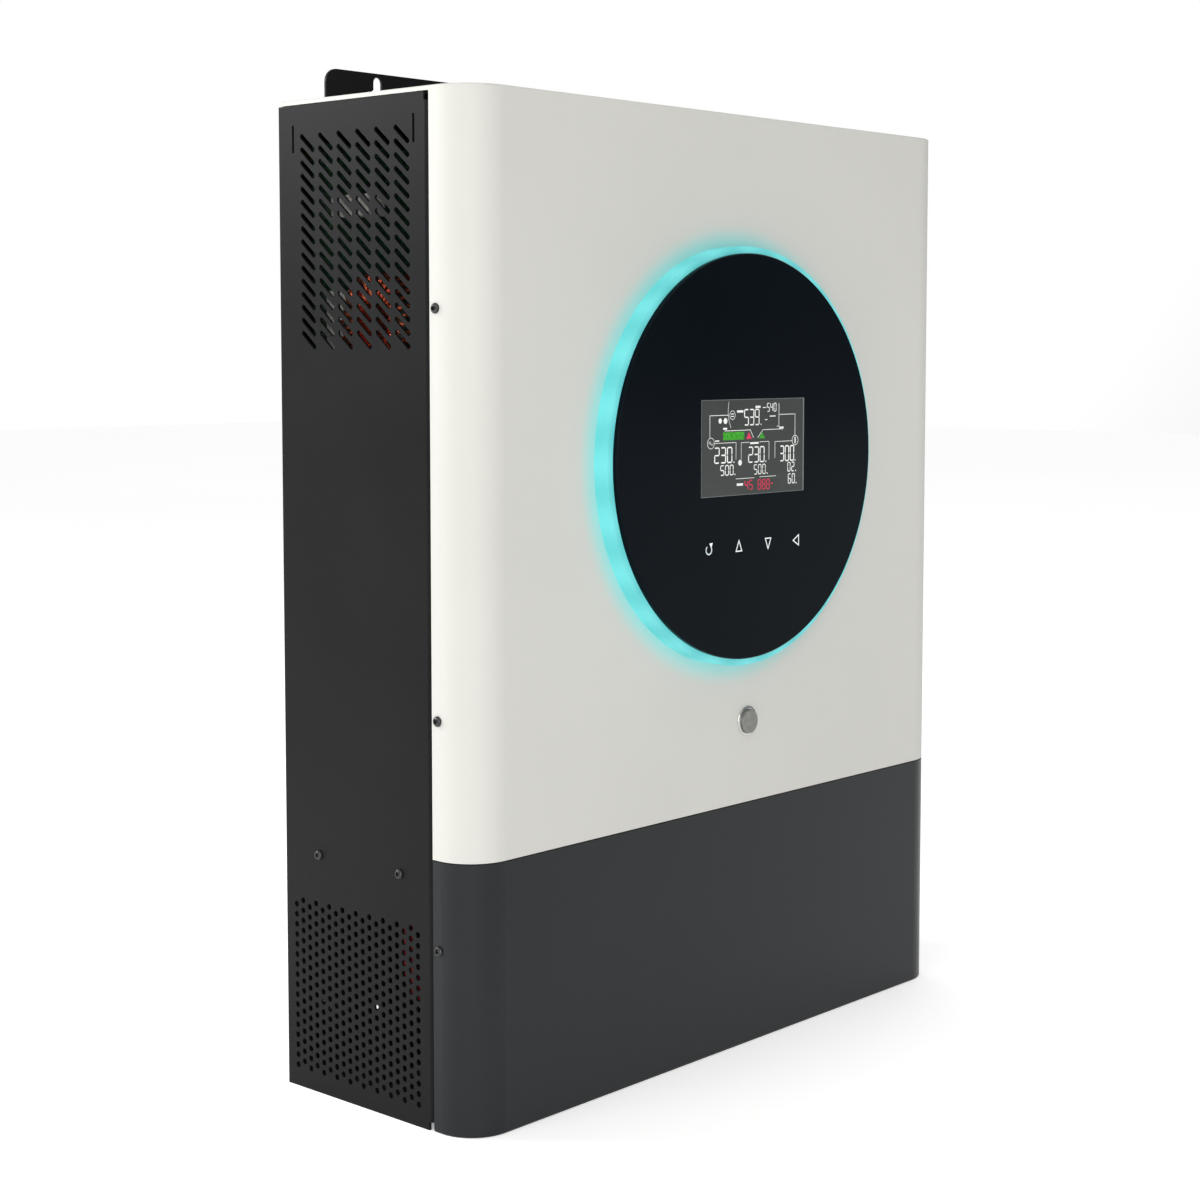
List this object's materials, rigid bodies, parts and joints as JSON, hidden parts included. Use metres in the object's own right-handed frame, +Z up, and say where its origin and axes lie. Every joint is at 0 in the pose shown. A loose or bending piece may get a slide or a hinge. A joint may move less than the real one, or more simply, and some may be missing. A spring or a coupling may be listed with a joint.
{
  "type": "wall-hung hybrid solar inverter",
  "caption": "Slim wall-hung solar power inverter with a round touch display on a lit ring, a push button, vented sides and a lower wiring cover.",
  "frame": {"origin": "centre of the body's back face, on the wall, half way up the body", "axes": "+Z up, the front faces -Y, +X to the right seen from the front"},
  "size_m": [0.4362, 0.163, 0.5756],
  "materials": {
    "chassis_black": "satin powder coat",
    "cover_white": "fine matt texture",
    "cover_charcoal": "fine matt texture",
    "display_glass": "high gloss",
    "ring_light": "frosted, lit from behind",
    "lcd": "satin, lit picture",
    "black_plastic": "moulded",
    "white_plastic": "moulded",
    "green_plastic": "moulded",
    "blue_plastic": "moulded",
    "circuit_board": "solder mask",
    "chip_black": "moulded epoxy",
    "film_yellow": "moulded epoxy",
    "ferrite": "sintered",
    "core_green": "epoxy coated powder core",
    "copper_wire": "enamelled copper",
    "brass": "turned",
    "bronze": "sintered",
    "tinned": "tin plate",
    "steel": "zinc plated",
    "steel_black": "black oxide",
    "button_metal": "spun finish",
    "aluminium": "extruded",
    "capacitor_sleeve": "shrink sleeve",
    "rubber": "moulded",
    "wire_red": "insulation",
    "wire_black": "insulation",
    "wire_brown": "insulation",
    "winding_tape": "polyester tape"
  },
  "bodies": {
    "housing": {"rear_panel": "chassis_black", "left_side_panel": "chassis_black", "right_side_panel": "chassis_black", "top_panel": "chassis_black", "bottom_panel": "chassis_black", "fan_shelf": "chassis_black", "front_cover": "cover_white", "lower_cover": "cover_charcoal", "cover_brackets": "chassis_black", "case_screws": "steel_black", "inner_screws": "steel", "display_lens": "display_glass", "light_ring": "ring_light", "ring_led_strip": "circuit_board", "display_carrier": "black_plastic", "lcd_module": "lcd", "display_board": "circuit_board", "touch_springs": "tinned", "button_barrel": "button_metal", "button_nut": "steel", "button_switch": "black_plastic", "fan_frames": "black_plastic", "fan_bearings": "bronze", "fan_stators": "copper_wire", "fan_guards": "steel", "fan_screws": "steel", "power_board": "circuit_board", "board_standoffs": "brass", "board_brackets": "steel", "heatsinks": "aluminium", "power_transistors": "chip_black", "clamp_bars": "steel", "coil_cores": "core_green", "coil_windings": "copper_wire", "coil_cradles": "white_plastic", "capacitors": "capacitor_sleeve", "transformer_cores": "ferrite", "transformer_windings": "winding_tape", "relays": "blue_plastic", "film_capacitors": "film_yellow", "control_board": "circuit_board", "board_terminals": "brass", "terminal_plate": "steel", "battery_blocks": "black_plastic", "terminal_studs": "tinned", "terminal_nuts": "tinned", "battery_lugs": "tinned", "terminal_blocks": "green_plastic", "terminal_screws": "steel", "cable_grommets": "rubber", "data_board": "circuit_board", "data_sockets": "tinned", "battery_cable_positive": "wire_red", "battery_cable_negative": "wire_black", "mains_wires": "wire_brown", "signal_leads": "wire_black"},
    "power_button": {"button_cap": "button_metal"},
    "left_rotor": {"fan_rotor_left": "black_plastic"},
    "middle_rotor": {"fan_rotor_middle": "black_plastic"},
    "right_rotor": {"fan_rotor_right": "black_plastic"}
  },
  "joints": [
    {"name": "button_press", "type": "slide", "parent": "housing", "child": "power_button", "axis": [0, 1, 0], "range_m": [0, 0.0016], "stiffness_N_per_m": 900, "springref_m": -0.002},
    {"name": "left_fan_spin", "type": "hinge", "parent": "housing", "child": "left_rotor", "pos_m": [-0.11, -0.061, -0.1318], "axis": [0, 0, 1], "continuous": true},
    {"name": "middle_fan_spin", "type": "hinge", "parent": "housing", "child": "middle_rotor", "pos_m": [0, -0.061, -0.1318], "axis": [0, 0, 1], "continuous": true},
    {"name": "right_fan_spin", "type": "hinge", "parent": "housing", "child": "right_rotor", "pos_m": [0.11, -0.061, -0.1318], "axis": [0, 0, 1], "continuous": true}
  ]
}
